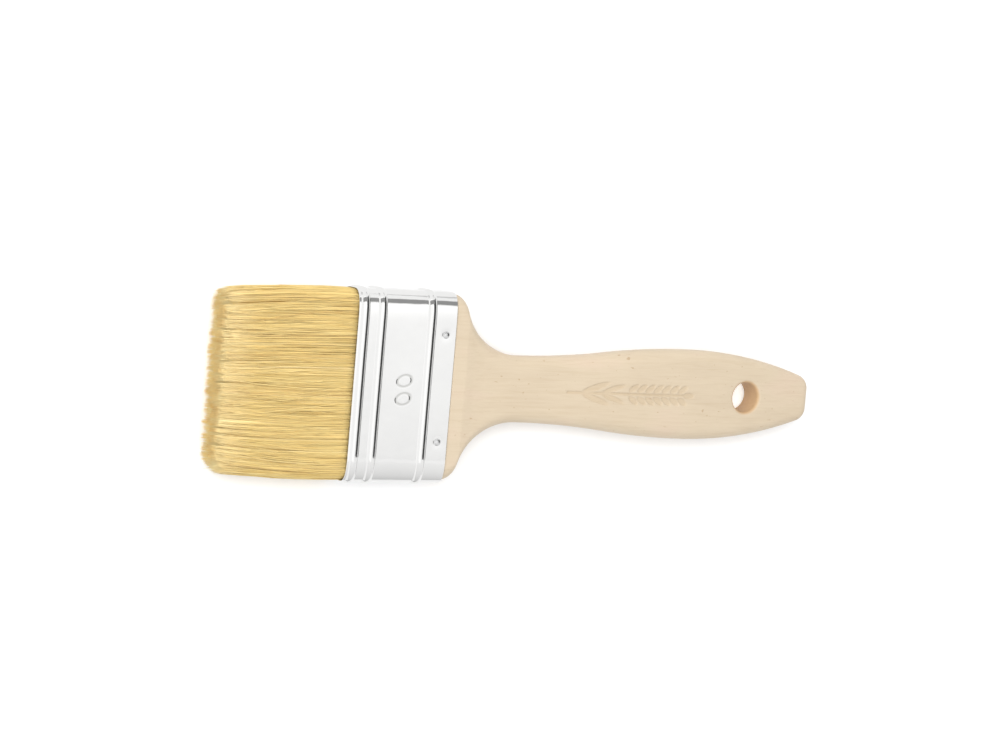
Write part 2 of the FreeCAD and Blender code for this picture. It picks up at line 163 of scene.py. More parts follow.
OVALS = ((17.3, 2.1), (17.3, -3.5))
OVAL_LONG = 2.5
OVAL_SHORT = 1.75
OVAL_TILT = math.radians(14)
OVAL_DEPTH = 0.065
OVAL_STROKE = 0.36

# Largest gaps between points: the beads, the ovals and the nails need a finer grid than the flats.
BEAD_GRID = 0.1
FLAT_GRID = 0.8
OVAL_GRID = 0.16
OVAL_PATCH_X = (14.0, 20.6)
OVAL_PATCH_Y = (-7.0, 5.4)
NAIL_GRID = 0.35
NAIL_PATCH_Y = 14.0
PLAIN_GRID = 1.0
BACK_GRID = 1.6

NAILS = [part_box(name) for name in frame["nodes"] if "nail" in name]
NAIL_DENT_DEPTH = 0.14
NAIL_DENT_RADIUS = 1.5
NAIL_SUNK = NAIL_DENT_DEPTH * 0.6

# The front and the back fall off a little before each corner, so a corner reaches far across the
# width and follows a superellipse instead of a circle.
CORNER_REACH = 10.0
CORNER_POWER = 3.0
CORNER_STEPS = 34
TURN_WEIGHT = 3.0


def bead_lift(x):
    """How far the beads raise the sheet: a round crown that runs into the flat through a small fillet."""
    slope = 2.0 * math.atan(BEAD_HEIGHT / BEAD_HALF)
    crown = BEAD_HALF / math.sin(slope) - BEAD_FOOT
    lift = np.zeros_like(x)
    for bead in BEADS:
        away = np.abs(x - bead)
        top = BEAD_HEIGHT - crown + np.sqrt(np.maximum(crown ** 2 - away ** 2, 0.0))
        foot = BEAD_FOOT - np.sqrt(np.maximum(BEAD_FOOT ** 2 - (BEAD_HALF - away) ** 2, 0.0))
        shape = np.where(away < crown * math.sin(slope), top, foot)
        lift = np.maximum(lift, np.where(away < BEAD_HALF, shape, 0.0))
    return lift


def pressed_ovals(x, y):
    """How deep the two ring-shaped marks are pressed into the front."""
    depth = np.zeros_like(x)
    for centre_x, centre_y in OVALS:
        along = (x - centre_x) * math.cos(OVAL_TILT) + (y - centre_y) * math.sin(OVAL_TILT)
        across = (y - centre_y) * math.cos(OVAL_TILT) - (x - centre_x) * math.sin(OVAL_TILT)
        ring = np.sqrt((along / OVAL_LONG) ** 2 + (across / OVAL_SHORT) ** 2)
        off_ring = (ring - 1.0) * (OVAL_LONG + OVAL_SHORT) / 2
        depth += OVAL_DEPTH * np.exp(-((off_ring / OVAL_STROKE) ** 2))
    return depth


def nail_dents(x, y, face):
    """How deep the sheet is dented round the nails of one face, +1 in front and -1 at the back."""
    depth = np.zeros_like(x)
    for low, high in NAILS:
        centre = (low + high) / 2
        if (centre.z - MIDDLE_HEIGHT) * face < 0:
            continue
        away = np.hypot(x - (centre.x - MOUTH) / MM, y - centre.y / MM)
        depth += NAIL_DENT_DEPTH * np.exp(-((away / NAIL_DENT_RADIUS) ** 2))
    return depth


def corner_points():
    """One corner of the sheet from side to front, measured from its centre, with outward normals."""
    angle = np.linspace(0.0, math.pi / 2, 4001)
    y = CORNER_REACH * np.cos(angle) ** (2 / CORNER_POWER)
    z = CORNER * np.sin(angle) ** (2 / CORNER_POWER)
    steep_y = (y / CORNER_REACH) ** (CORNER_POWER - 1) / CORNER_REACH
    steep_z = (z / CORNER) ** (CORNER_POWER - 1) / CORNER
    lean = np.arctan2(steep_z, steep_y)
    step = np.hypot(np.diff(y), np.diff(z)) + TURN_WEIGHT * np.diff(lean)
    travelled = np.concatenate([[0.0], np.cumsum(step)])
    even = np.interp(np.linspace(0.0, travelled[-1], CORNER_STEPS + 1), travelled, angle)
    y, z, lean = (np.interp(even, angle, values) for values in (y, z, lean))
    return np.stack([y, z, np.cos(lean), np.sin(lean)], axis=1)


def ferrule_outline():
    """Once round the ferrule's section: y, z and the outward normal at each point."""
    flat = WIDTH / 2 - CORNER_REACH
    side = THICKNESS / 2 - CORNER
    corner = corner_points()
    oval_low, oval_high = OVAL_PATCH_Y
    left_nail = (-flat, -NAIL_PATCH_Y, NAIL_GRID)
    right_nail = (NAIL_PATCH_Y, flat, NAIL_GRID)
    ovals = (
        (-NAIL_PATCH_Y, oval_low, PLAIN_GRID),
        (oval_low, oval_high, OVAL_GRID),
        (oval_high, NAIL_PATCH_Y, PLAIN_GRID),
    )
    front_y = spread(left_nail, *ovals, right_nail)[::-1]
    back_y = spread(left_nail, (-NAIL_PATCH_Y, NAIL_PATCH_Y, BACK_GRID), right_nail)
    run = []
    for turn_y, turn_z, edge_y in ((1, 1, front_y), (-1, 1, None), (-1, -1, back_y), (1, -1, None)):
        piece = corner * [turn_y, turn_z, turn_y, turn_z] + [turn_y * flat, turn_z * side, 0.0, 0.0]
        run.append(piece if turn_y == turn_z else piece[::-1])
        if edge_y is None:
            run.append(np.array([(turn_y * WIDTH / 2, 0.0, turn_y, 0.0)]))
        else:
            run.append(np.array([(y, turn_z * THICKNESS / 2, 0.0, turn_z) for y in edge_y[1:-1]]))
    return np.concatenate(run)


def ferrule_profile():
    """Once round the sheet cut along the brush: distance from the mouth and depth under the surface."""
    reach = BEAD_HALF + BEAD_MARGIN
    fine = [(bead - reach, bead + reach, BEAD_GRID, FLAT_GRID) for bead in BEADS]
    fine.append((*OVAL_PATCH_X, OVAL_GRID, FLAT_GRID * 1.5))
    stretches = []
    last = EDGE_ROUND
    for start, end, gap, gap_before in sorted(fine):
        stretches += [(last, start, gap_before), (start, end, gap)]
        last = end
    edge = BACK_EDGE - EDGE_ROUND
    stretches += [(last, edge - EDGE_MARGIN, NAIL_GRID), (edge - EDGE_MARGIN, edge, EDGE_MARGIN)]
    outer = spread(*stretches)
    inner = outer[::-6]
    outside = np.stack([outer, np.zeros_like(outer)], axis=1)
    inside = np.stack([inner, np.full_like(inner, GAUGE)], axis=1)
    back = [(BACK_EDGE, EDGE_ROUND), (BACK_EDGE, GAUGE - EDGE_ROUND)]
    mouth = [(0.0, GAUGE - EDGE_ROUND), (0.0, EDGE_ROUND)]
    return np.concatenate([outside, back, inside, mouth])


def build_ferrule():
    outline = ferrule_outline()
    profile = ferrule_profile()
    x = np.repeat(profile[:, :1], len(outline), axis=1)
    depth = np.repeat(profile[:, 1:], len(outline), axis=1)
    y, z, normal_y, normal_z = (np.repeat(outline[None, :, i], len(profile), axis=0) for i in range(4))
    front = np.where(normal_z > 0.99, 1.0, 0.0)
    back = np.where(normal_z < -0.99, 1.0, 0.0)
    ovals = front * pressed_ovals(x, y)
    pressed = ovals + front * nail_dents(x, y, 1) + back * nail_dents(x, y, -1)
    out = bead_lift(x) - depth - pressed
    points = np.stack([x, y + normal_y * out, z + normal_z * out], axis=2).reshape(-1, 3)
    faces = grid_faces(len(profile), len(outline), close_rows=True, close_columns=True)
    ferrule = add_mesh("tinplate_ferrule", points, faces, ["ferrule"])
    # The material darkens the pressed ovals from this: painted shade in their grooves.
    add_attribute(ferrule, "pressed", (ovals / OVAL_DEPTH).reshape(-1))
    return ferrule


# ---------------------------------------------------------------------------------------------
# Nails: round-headed tacks
# ---------------------------------------------------------------------------------------------

NAIL_SEGMENTS = 32
# Radius and height above the underside of the head, from the crown to the point.
NAIL_PROFILE = (
    (0.00, 0.43), (0.25, 0.425), (0.50, 0.40), (0.75, 0.345), (0.95, 0.26), (1.08, 0.16),
    (1.14, 0.06), (1.13, -0.03), (1.05, -0.10), (0.62, -0.12), (0.58, -0.20), (0.58, -5.2), (0.0, -6.4),
)


def build_nail(node):
    """One tack, turned about the axis of its CAD node and sunk a little into the dented sheet."""
    low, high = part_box(node)
    centre = (low + high) / 2
    face = 1.0 if centre.z > MIDDLE_HEIGHT else -1.0
    centre_x = (centre.x - MOUTH) / MM
    centre_y = centre.y / MM
    points = []
    for radius, height in NAIL_PROFILE:
        for step in range(NAIL_SEGMENTS):
            angle = step * 2 * math.pi / NAIL_SEGMENTS
            z = face * (THICKNESS / 2 - NAIL_SUNK + height)
            points.append((centre_x + radius * math.cos(angle), centre_y + radius * math.sin(angle), z))
    faces = grid_faces(len(NAIL_PROFILE), NAIL_SEGMENTS, close_columns=True)
    nail = add_mesh(node + "_tack", points, faces, [node])
    merge_close_points(nail)
    return nail


# ---------------------------------------------------------------------------------------------
# Handle: beech, waisted and rounded, with a rounded hang hole and a pressed ear of wheat
# ---------------------------------------------------------------------------------------------

SHOULDER_HALF = 29.4
SHOULDER_ROUND = 5.0
THROAT_RADIUS = 22.0
NECK = 59.5
NECK_HALF = 10.6
BELLY = 124.0
BELLY_HALF = 14.7
TAPER_RADIUS = 138.0
END_ROUND = 4.5
END_FACE_ROUND = 2.4

# Half of the handle's thickness along its length: distance from the mouth, half thickness.
SIDE_PROFILE = (
    (33.7, 6.2), (38.4, 6.2), (39.0, 6.12), (42.4, 5.54), (46.0, 5.15), (51.0, 4.88), (62.0, 4.75),
    (76.0, 4.95), (92.0, 5.45), (110.0, 5.8), (124.0, 5.65), (150.0, 4.75), (170.5, 3.5),
)
# The edge radius and the fall of the flats at their edges, both as shares of the half thickness.
EDGE_SHARE = 0.8
CROWN = 0.05

TENON_HALF = WIDTH / 2 - GAUGE
TENON_THICKNESS = THICKNESS / 2 - GAUGE
TENON_CORNER = CORNER - GAUGE
# The tenon ends this far before the handle's first full section.
SLIVER = 0.01

hang_hole = next(mount for mount in frame["record"]["mounts"] if mount["name"] == "hang_hole")
HOLE = (hang_hole["pos_m"][0] - MOUTH) / MM
HOLE_RADIUS = hang_hole["dims"]["r_mm"]
HOLE_RIM = 1.2
HOLE_PATCH = 7.4
PATCH_RINGS = 11
RIM_RINGS = 7
EDGE_POINTS = 9
ORNAMENT_GRID = 0.2
HOLE_GRID = 0.45
GRIP_GRID = 0.7

# The pressed ear of wheat.  A leaf is its place along, its place off the middle, two half sizes and a tilt.
ORNAMENT_START = 74.5
ORNAMENT_END = 123.5
ORNAMENT_DEPTH = 0.32
GRAIN_PAIRS = 7
GRAIN_SPACING = 3.1
FIRST_GRAIN = 100.5
LEAVES = ((86.5, 1.9, 5.2, 0.95, 0.32), (93.0, 1.6, 4.2, 0.80, 0.30))
GRAIN_OFF = 1.95
GRAIN_LONG = 2.0
GRAIN_SHORT = 0.92
GRAIN_TILT = 0.55
STEM_HALF = 0.38
SOFT_EDGE = 0.4

# The outline's arcs: centres and the places where one runs into the next.
corner_reach = THROAT_RADIUS + SHOULDER_ROUND
corner_drop = NECK_HALF + THROAT_RADIUS - (SHOULDER_HALF - SHOULDER_ROUND)
corner_x = NECK - math.sqrt(corner_reach ** 2 - corner_drop ** 2)
corner_end = NECK - (NECK - corner_x) * THROAT_RADIUS / corner_reach
grip_rise = BELLY_HALF - NECK_HALF
grip_radius = ((BELLY - NECK) ** 2 + grip_rise ** 2) / (4 * grip_rise)
end_x = HANDLE_END - END_ROUND
end_y = BELLY_HALF - TAPER_RADIUS + math.sqrt((TAPER_RADIUS - END_ROUND) ** 2 - (end_x - BELLY) ** 2)
taper_end = BELLY + (end_x - BELLY) * TAPER_RADIUS / (TAPER_RADIUS - END_ROUND)


def circle_height(x, centre_x, radius):
    """Height of a circle above its own centre at x."""
    return np.sqrt(np.maximum(radius ** 2 - (x - centre_x) ** 2, 0.0))


def half_width(x):
    """The handle's outline: six arcs, each tangent to the next."""
    return np.select(
        [x < corner_x, x < corner_end, x < NECK, x < (NECK + BELLY) / 2, x < BELLY, x < taper_end],
        [
            np.full_like(x, SHOULDER_HALF),
            SHOULDER_HALF - SHOULDER_ROUND + circle_height(x, corner_x, SHOULDER_ROUND),
            NECK_HALF + THROAT_RADIUS - circle_height(x, NECK, THROAT_RADIUS),
            NECK_HALF + grip_radius - circle_height(x, NECK, grip_radius),
            BELLY_HALF - grip_radius + circle_height(x, BELLY, grip_radius),
            BELLY_HALF - TAPER_RADIUS + circle_height(x, BELLY, TAPER_RADIUS),
        ],
        end_y + circle_height(x, end_x, END_ROUND),
    )


def smooth_through(knots, x):
    """A smooth curve through the knots that never overshoots them."""
    knot_x, knot_y = np.array(knots).T
    secant = np.diff(knot_y) / np.diff(knot_x)
    product = secant[:-1] * secant[1:]
    inner = np.where(product > 0, 2 * product / np.where(product > 0, secant[:-1] + secant[1:], 1.0), 0.0)
    slope = np.concatenate([[secant[0]], inner, [secant[-1]]])
    left = np.clip(np.searchsorted(knot_x, x) - 1, 0, len(secant) - 1)
    gap = knot_x[left + 1] - knot_x[left]
    share = (x - knot_x[left]) / gap
    rise = smooth_step(share)
    leaving = share * (1 - share) ** 2 * gap * slope[left]
    arriving = share ** 2 * (share - 1) * gap * slope[left + 1]
    return knot_y[left] * (1 - rise) + knot_y[left + 1] * rise + leaving + arriving


def half_thickness(x):
    """The side profile, rounded off at the handle's end."""
    round_start = HANDLE_END - END_FACE_ROUND
    drop = np.where(x > round_start, END_FACE_ROUND - circle_height(x, round_start, END_FACE_ROUND), 0.0)
    return smooth_through(SIDE_PROFILE, x) - drop


def handle_stations():
    """Distances along the handle, closest together where the outline turns and round the ornament."""
    x = np.linspace(BACK_EDGE, HANDLE_END, 30001)
    step = np.sqrt(np.diff(x) ** 2 + np.diff(half_width(x)) ** 2 + np.diff(half_thickness(x)) ** 2)
    middle = (x[:-1] + x[1:]) / 2
    in_ornament = (middle > ORNAMENT_START - 1) & (middle < ORNAMENT_END + 1)
    near_hole = np.abs(middle - HOLE) < HOLE_PATCH + 1
    gap = np.where(in_ornament, ORNAMENT_GRID, np.where(near_hole, HOLE_GRID, GRIP_GRID))
    travelled = np.concatenate([[0.0], np.cumsum(step / gap)])
    return np.interp(np.linspace(0.0, travelled[-1], math.ceil(travelled[-1]) + 1), travelled, x)


def pressed_leaf(x, y, centre_x, centre_y, long, short, tilt):
    """A soft-edged oval dent: 1 inside and 0 outside."""
    along = (x - centre_x) * math.cos(tilt) + (y - centre_y) * math.sin(tilt)
    across = (y - centre_y) * math.cos(tilt) - (x - centre_x) * math.sin(tilt)
    inside = (1.0 - np.sqrt((along / long) ** 2 + (across / short) ** 2)) * short
    return smooth_step(inside / SOFT_EDGE + 0.5)


def wheat_ear(x, y):
    """A generic ear of wheat that lies along the grip: 1 where the wood is pressed in."""
    middle = (ORNAMENT_START + ORNAMENT_END) / 2
    stem_reach = (ORNAMENT_END - ORNAMENT_START) / 2 - 1.5
    mark = smooth_step((STEM_HALF - np.abs(y)) / SOFT_EDGE + 0.5)
    mark = mark * smooth_step((stem_reach - np.abs(x - middle)) / 0.6 + 0.5)
    for side in (-1, 1):
        for along, off, long, short, tilt in LEAVES:
            mark = np.maximum(mark, pressed_leaf(x, y, along, side * off, long, short, side * tilt))
        for pair in range(GRAIN_PAIRS):
            along = FIRST_GRAIN + pair * GRAIN_SPACING
            grain = pressed_leaf(x, y, along, side * GRAIN_OFF, GRAIN_LONG, GRAIN_SHORT, side * GRAIN_TILT)
            mark = np.maximum(mark, grain)
    return np.maximum(mark, pressed_leaf(x, y, ORNAMENT_END - GRAIN_LONG, 0.0, GRAIN_LONG, 0.95, 0.0))


def section_directions():
    """How each point once round the section is placed: shares of the flats and of the corner radius."""
    quarter = np.arange(1, EDGE_POINTS + 1) * (math.pi / 2 / (EDGE_POINTS + 1))
    fine = list(np.arange(0.66, -0.661, -0.02))
    coarse = [1.0, 0.94, 0.88, 0.82, 0.76, 0.70]
    flat = np.array(coarse + fine + [-share for share in reversed(coarse)])
    rows = [(1.0, share, 1.0, 0.0) for share in (-0.5, 0.5)]
    rows += [(1.0, 1.0, math.cos(a), math.sin(a)) for a in quarter]
    rows += [(share, 1.0, 0.0, 1.0) for share in flat]
    rows += [(-1.0, 1.0, -math.sin(a), math.cos(a)) for a in quarter]
    rows += [(-1.0, share, -1.0, 0.0) for share in (0.5, -0.5)]
    rows += [(-1.0, -1.0, -math.cos(a), -math.sin(a)) for a in quarter]
    rows += [(-share, -1.0, 0.0, -1.0) for share in flat]
    rows += [(1.0, -1.0, math.sin(a), -math.cos(a)) for a in quarter]
    return np.array(rows), flat


def handle_sections():
    """Half width, half thickness and edge radius of every section, tenon first."""
    x = handle_stations()
    tenon = [(end, TENON_HALF, TENON_THICKNESS, TENON_CORNER) for end in (TENON_START, BACK_EDGE - SLIVER)]
    thick = half_thickness(x)
    body = np.stack([x, half_width(x), thick, thick * EDGE_SHARE], axis=1)
    return np.concatenate([np.array(tenon), body])


def surface_height(x, y):
    """Height of the handle's flat front above the middle plane."""
    return half_thickness(x) * (1.0 - CROWN * (y / half_width(x)) ** 2)


def hole_rings(edge_x, edge_y, face):
    """Rings of points from the edge of the patch, in over the rounded rim and down to the bore."""
    angle = np.arctan2(edge_y, edge_x - HOLE)
    rim = HOLE_RADIUS + HOLE_RIM
    rings = []
    for share in np.linspace(0.0, 1.0, PATCH_RINGS + 1)[1:]:
        x = edge_x * (1 - share) + (HOLE + rim * np.cos(angle)) * share
        y = edge_y * (1 - share) + rim * np.sin(angle) * share
        rings.append(np.stack([x, y, face * surface_height(x, y)], axis=1))
    for turn in np.linspace(0.0, math.pi / 2, RIM_RINGS + 1)[1:]:
        radius = rim - HOLE_RIM * math.sin(turn)
        x = HOLE + radius * np.cos(angle)
        y = radius * np.sin(angle)
        height = surface_height(x, y) - HOLE_RIM * (1 - math.cos(turn))
        rings.append(np.stack([x, y, face * height], axis=1))
    return rings


def build_handle():
    sections = handle_sections()
    directions, flat = section_directions()
    x, wide, thick, edge = (sections[:, i:i + 1] for i in range(4))
    y = directions[:, 0] * (wide - edge) + directions[:, 2] * edge
    z = directions[:, 1] * (thick - edge) + directions[:, 3] * edge
    x = np.repeat(x, len(directions), axis=1)
    on_handle = x > BACK_EDGE - SLIVER / 2
    z = np.where(on_handle, z * (1.0 - CROWN * (y / wide) ** 2), z)
    on_front = on_handle & (directions[:, 3] > 0.99)
    pressed = np.where(on_front, wheat_ear(x, y), 0.0)
    z = z - ORNAMENT_DEPTH * pressed
    points = np.stack([x, y, z], axis=2)

    rows, columns = x.shape
    front_start = 2 + EDGE_POINTS
    back_start = front_start + len(flat) + EDGE_POINTS + 2 + EDGE_POINTS
    # The patch round the hole is left out of both flats, and rings of faces fill it from its edge inwards.
    first_row, last_row = np.searchsorted(sections[:, 0], [HOLE - HOLE_PATCH, HOLE + HOLE_PATCH])
    first, last = 3, len(flat) - 4
    walk = [(first_row, column) for column in range(first, last)]
    walk += [(row, last) for row in range(first_row, last_row)]
    walk += [(last_row, column) for column in range(last, first, -1)]
    walk += [(row, first) for row in range(last_row, first_row, -1)]
    skip = set()
    for row in range(first_row, last_row):
        skip |= {(row, front_start + column) for column in range(first, last)}
        skip |= {(row, back_start + len(flat) - 2 - column) for column in range(first, last)}
    faces = grid_faces(rows, columns, close_columns=True, skip=skip)
    faces.append(tuple(range(columns)))
    faces.append(tuple(range((rows - 1) * columns, rows * columns)))

    loops = {
        1: [row * columns + front_start + column for row, column in walk],
        -1: [row * columns + back_start + len(flat) - 1 - column for row, column in walk],
    }
    points = points.reshape(-1, 3)
    total = len(points)
    blocks = [points]
    last_ring = {}
    for face, loop in loops.items():
        ring = loop
        for inner in hole_rings(points[loop, 0], points[loop, 1], face):
            following = list(range(total, total + len(inner)))
            blocks.append(inner)
            total += len(inner)
            faces += ring_faces(ring, following)
            ring = following
        last_ring[face] = ring
    faces += ring_faces(last_ring[1], last_ring[-1])
    points = np.concatenate(blocks)
    handle = add_mesh("beech_handle", points, faces, ["handle"])
    in_ornament = np.zeros(total)
    in_ornament[:rows * columns] = pressed.reshape(-1)
    add_attribute(handle, "pressed", in_ornament)
    off_axis = np.hypot(points[:, 0] - HOLE, points[:, 1])
    add_attribute(handle, "drilled", np.clip((HOLE_RADIUS + 0.9 - off_axis) / 0.7, 0.0, 1.0))
    merge_close_points(handle)
    return handle


# ---------------------------------------------------------------------------------------------
# Bristles: every hair is a tapered prism that starts inside the ferrule and ends in a point
# ---------------------------------------------------------------------------------------------

HAIR_SPACING = 0.232
HAIR_RADIUS = 0.14
HAIR_ROOT = -2.0
HAIR_STEPS = (0.0, 0.10, 0.24, 0.40, 0.56, 0.71, 0.84, 0.94, 1.0)
# How lengths vary from clump to clump and from hair to hair, as a mean and a spread.
CLUMP_LENGTHS = (-0.2, 0.6)
HAIR_LENGTHS = (-0.2, 0.45)
# Surface hairs end a little early, and a share of all hairs is short by up to SHORTEST_BY.
SURFACE_DEPTH = 0.8
SURFACE_CUT = 0.55
SHORT_SHARE = 0.18
SHORTEST_BY = 7.0
# How far the two narrow sides of the bundle fall short of its middle, and the share of the width left even.
SIDE_DROPS = (3.0, 1.2)
EVEN_SHARE = 0.86
# Hairs start to gather into clumps at this distance out, over this reach, and less so in thickness.
GATHER_START = 14.0
GATHER_REACH = 30.0
GATHER_THICKNESS = 0.6
SPLAY = 1.6
# Slow and quick waves of a hair: mean size, then the shortest and the longest wave.
WAVES = ((0.09, 26.0, 60.0), (0.025, 9.0, 16.0))
BANK_SPLIT = 2.4
SURFACE_HAIRS = 1.3
CLUMPS = 520
PARTINGS = 14
PARTING_GAPS = (0.06, 0.20)
PARTING_DEPTH = 0.28
STRAYS = 92
STRAY_SWING = 2.6
STRAY_LIFT = 0.22
LONGEST = BRISTLE_LENGTH - 0.1

# Half width and half thickness of the bundle, by distance out of the mouth.
BUNDLE_WIDTH = (
    (-2.0, 29.45), (0.0, 29.5), (5.0, 29.65), (21.0, 29.15), (29.0, 28.6), (37.0, 28.0), (44.5, 27.3),
)
BUNDLE_THICKNESS = (
    (-2.0, 5.98), (0.0, 6.02), (5.0, 6.3), (18.0, 6.6), (28.0, 6.5), (35.0, 6.1), (40.0, 5.3), (44.5, 3.8),
)
ROOT_WIDTH = 29.5
ROOT_THICKNESS = 6.02
ROOT_CORNER = 4.6
HIGHEST = 6.9
DROOP = 1.0


def root_places(chance):
    """Hair roots on a shaken hexagonal grid that fills the ferrule's mouth."""
    rise = HAIR_SPACING * math.sqrt(3) / 2
    rows = np.arange(-ROOT_THICKNESS, ROOT_THICKNESS, rise)
    columns = np.arange(-ROOT_WIDTH, ROOT_WIDTH, HAIR_SPACING)
    y, z = np.meshgrid(columns, rows)
    y = y + (np.arange(len(rows)) % 2)[:, None] * HAIR_SPACING / 2
    y = (y + chance.normal(0, 0.3 * HAIR_SPACING, y.shape)).reshape(-1)
    z = (z + chance.normal(0, 0.3 * HAIR_SPACING, z.shape)).reshape(-1)
    under = depth_under_surface(y, z)
    return y[under > 0], z[under > 0], under[under > 0]


def depth_under_surface(y, z):
    """Distance in from the edge of the bundle's rounded rectangle at the mouth."""
    over_y = np.abs(y) - (ROOT_WIDTH - ROOT_CORNER)
    over_z = np.abs(z) - (ROOT_THICKNESS - ROOT_CORNER)
    outside = np.hypot(np.maximum(over_y, 0), np.maximum(over_z, 0))
    return ROOT_CORNER - outside - np.minimum(np.maximum(over_y, over_z), 0)


def nearest(y, z, centre_y, centre_z):
    """The nearest clump centre of every hair, found in slices to save memory."""
    owner = np.empty(len(y), int)
    for start in range(0, len(y), 2000):
        part = slice(start, start + 2000)
        away = (y[part, None] - centre_y) ** 2 + ((z[part, None] - centre_z) * 1.15) ** 2
        owner[part] = away.argmin(axis=1)
    return owner


def add_waves(chance, out, loose, line_y, line_z):
    """Let every hair wander a little, mostly across the width."""
    count = len(out)
    for size, shortest, longest in WAVES:
        wave = chance.uniform(shortest, longest, (count, 1))
        phase = chance.uniform(0, 2 * math.pi, (2, count, 1))
        reach = chance.gamma(2.0, size, (count, 1)) * loose ** 0.8
        line_y += reach * np.sin(2 * math.pi * out / wave + phase[0])
        line_z += 0.45 * reach * np.sin(2 * math.pi * out / wave + phase[1])


def add_partings(chance, out, line_y, line_z):
    """Open narrow lines along the bundle: hairs move aside, and those in the line sink in."""
    for _ in range(PARTINGS):
        centre = chance.uniform(-28.0, 28.0)
        middle = chance.uniform(2.0, 34.0)
        reach = chance.uniform(4.0, 11.0)
        gap = chance.uniform(*PARTING_GAPS)
        slope = chance.normal(0, 0.012)
        off = line_y - centre - slope * out
        fade = np.exp(-(((out - middle) / reach) ** 4))
        sunk = np.exp(-((off / 0.35) ** 2)) * fade * np.minimum(PARTING_DEPTH, np.abs(line_z))
        line_y += np.sign(off) * gap * np.exp(-((off / 0.8) ** 2)) * fade
        line_z -= np.sign(line_z) * sunk


def add_strays(chance, on_face, loose, line_y, line_z):
    """Swing a few hairs of the two broad faces across their neighbours."""
    stray = chance.choice(on_face, STRAYS, replace=False)
    swing = chance.normal(0, STRAY_SWING, (len(stray), 1))
    line_y[stray] += swing * loose[stray] ** chance.uniform(0.8, 2.0, (len(stray), 1))
    line_z[stray] += np.sign(line_z[stray]) * STRAY_LIFT * np.sin(math.pi * loose[stray])


def hair_lines():
    """The centre line of every hair, with its tone and its depth inside the bundle."""
    chance = np.random.default_rng(SEED)
    y, z, under = root_places(chance)
    count = len(y)
    across, up = y / ROOT_WIDTH, z / ROOT_THICKNESS

    clump_y = chance.uniform(-ROOT_WIDTH, ROOT_WIDTH, CLUMPS)
    clump_z = chance.uniform(-ROOT_THICKNESS, ROOT_THICKNESS, CLUMPS)
    owner = nearest(y, z, clump_y, clump_z)
    pull = chance.uniform(0.06, 0.34, CLUMPS)[owner]
    lean_y = chance.normal(0, 0.45, CLUMPS)[owner]
    lean_z = chance.normal(0, 0.22, CLUMPS)[owner]

    side_drop = np.where(y > 0, SIDE_DROPS[1], SIDE_DROPS[0])
    side_drop = side_drop * smooth_step((np.abs(across) - EVEN_SHARE) / (1.0 - EVEN_SHARE))
    length = LONGEST + 0.5 * up - side_drop
    length = length + chance.normal(*CLUMP_LENGTHS, CLUMPS)[owner] + chance.normal(*HAIR_LENGTHS, count)
    length = length - np.where(under < SURFACE_DEPTH, chance.exponential(SURFACE_CUT, count), 0.0)
    short = chance.random(count) < SHORT_SHARE
    length = np.where(short, length - chance.uniform(0.5, SHORTEST_BY, count), length)
    length = np.minimum(length, LONGEST)

    out = HAIR_ROOT + (length - HAIR_ROOT)[:, None] * np.array(HAIR_STEPS)
    loose = np.clip(out / LONGEST, 0, 1)
    wide = smooth_through(BUNDLE_WIDTH, out)
    thick = smooth_through(BUNDLE_THICKNESS, out)
    gather = pull[:, None] * smooth_step((out - GATHER_START) / GATHER_REACH)
    gather_z = gather * GATHER_THICKNESS
    home_y, home_z = clump_y[owner] / ROOT_WIDTH, clump_z[owner] / ROOT_THICKNESS
    line_y = (across[:, None] * (1 - gather) + home_y[:, None] * gather) * wide
    line_z = (up[:, None] * (1 - gather_z) + home_z[:, None] * gather_z) * thick
    line_y += (lean_y[:, None] - 0.25) * loose ** SPLAY
    line_z += lean_z[:, None] * loose ** SPLAY * (under > 0.6)[:, None] - DROOP * loose ** 3

    add_waves(chance, out, loose, line_y, line_z)
    add_partings(chance, out, line_y, line_z)
    on_face = np.flatnonzero((under < 0.35) & (np.abs(up) > 0.9))
    add_strays(chance, on_face, loose, line_y, line_z)
    line_z = np.clip(line_z, -HIGHEST, HIGHEST)
    tone = 0.75 * chance.random(count) + 0.25 * chance.random(CLUMPS)[owner]
    return out, line_y, line_z, tone, under, z


def hair_prisms(x, y, z, radius, turn):
    """Points and faces of tapered three-sided hairs that end in a point, one row of x, y, z per hair."""
    rings = x.shape[1] - 1
    share = np.linspace(0.0, 1.0, rings + 1)[:-1]
    thin = radius[:, None] * (1.0 - 0.5 * share ** 2.5)
    corner = turn[:, None, None] + np.arange(3) * (2 * math.pi / 3)
    ring_x = np.repeat(x[:, :-1, None], 3, axis=2)
    ring_y = y[:, :-1, None] + thin[:, :, None] * np.cos(corner)
    ring_z = z[:, :-1, None] + thin[:, :, None] * np.sin(corner)
    ring = np.stack([ring_x, ring_y, ring_z], axis=3).reshape(len(x), -1, 3)
    tip = np.stack([x[:, -1], y[:, -1], z[:, -1]], axis=1)[:, None, :]
    points = np.concatenate([ring, tip], axis=1)
    size = points.shape[1]
    starts = size * np.arange(len(x))
    sides = [(r * 3 + k, r * 3 + (k + 1) % 3, r * 3 + 3 + (k + 1) % 3, r * 3 + 3 + k)
             for r in range(rings - 1) for k in range(3)]
    last = (rings - 1) * 3
    tips = [(last + k, last + (k + 1) % 3, size - 1) for k in range(3)]
    faces = (starts[:, None, None] + np.array(sides)).reshape(-1, 4).tolist()
    faces += (starts[:, None, None] + np.array(tips)).reshape(-1, 3).tolist()
    faces += (starts[:, None] + np.array([2, 1, 0])).tolist()
    return points, faces


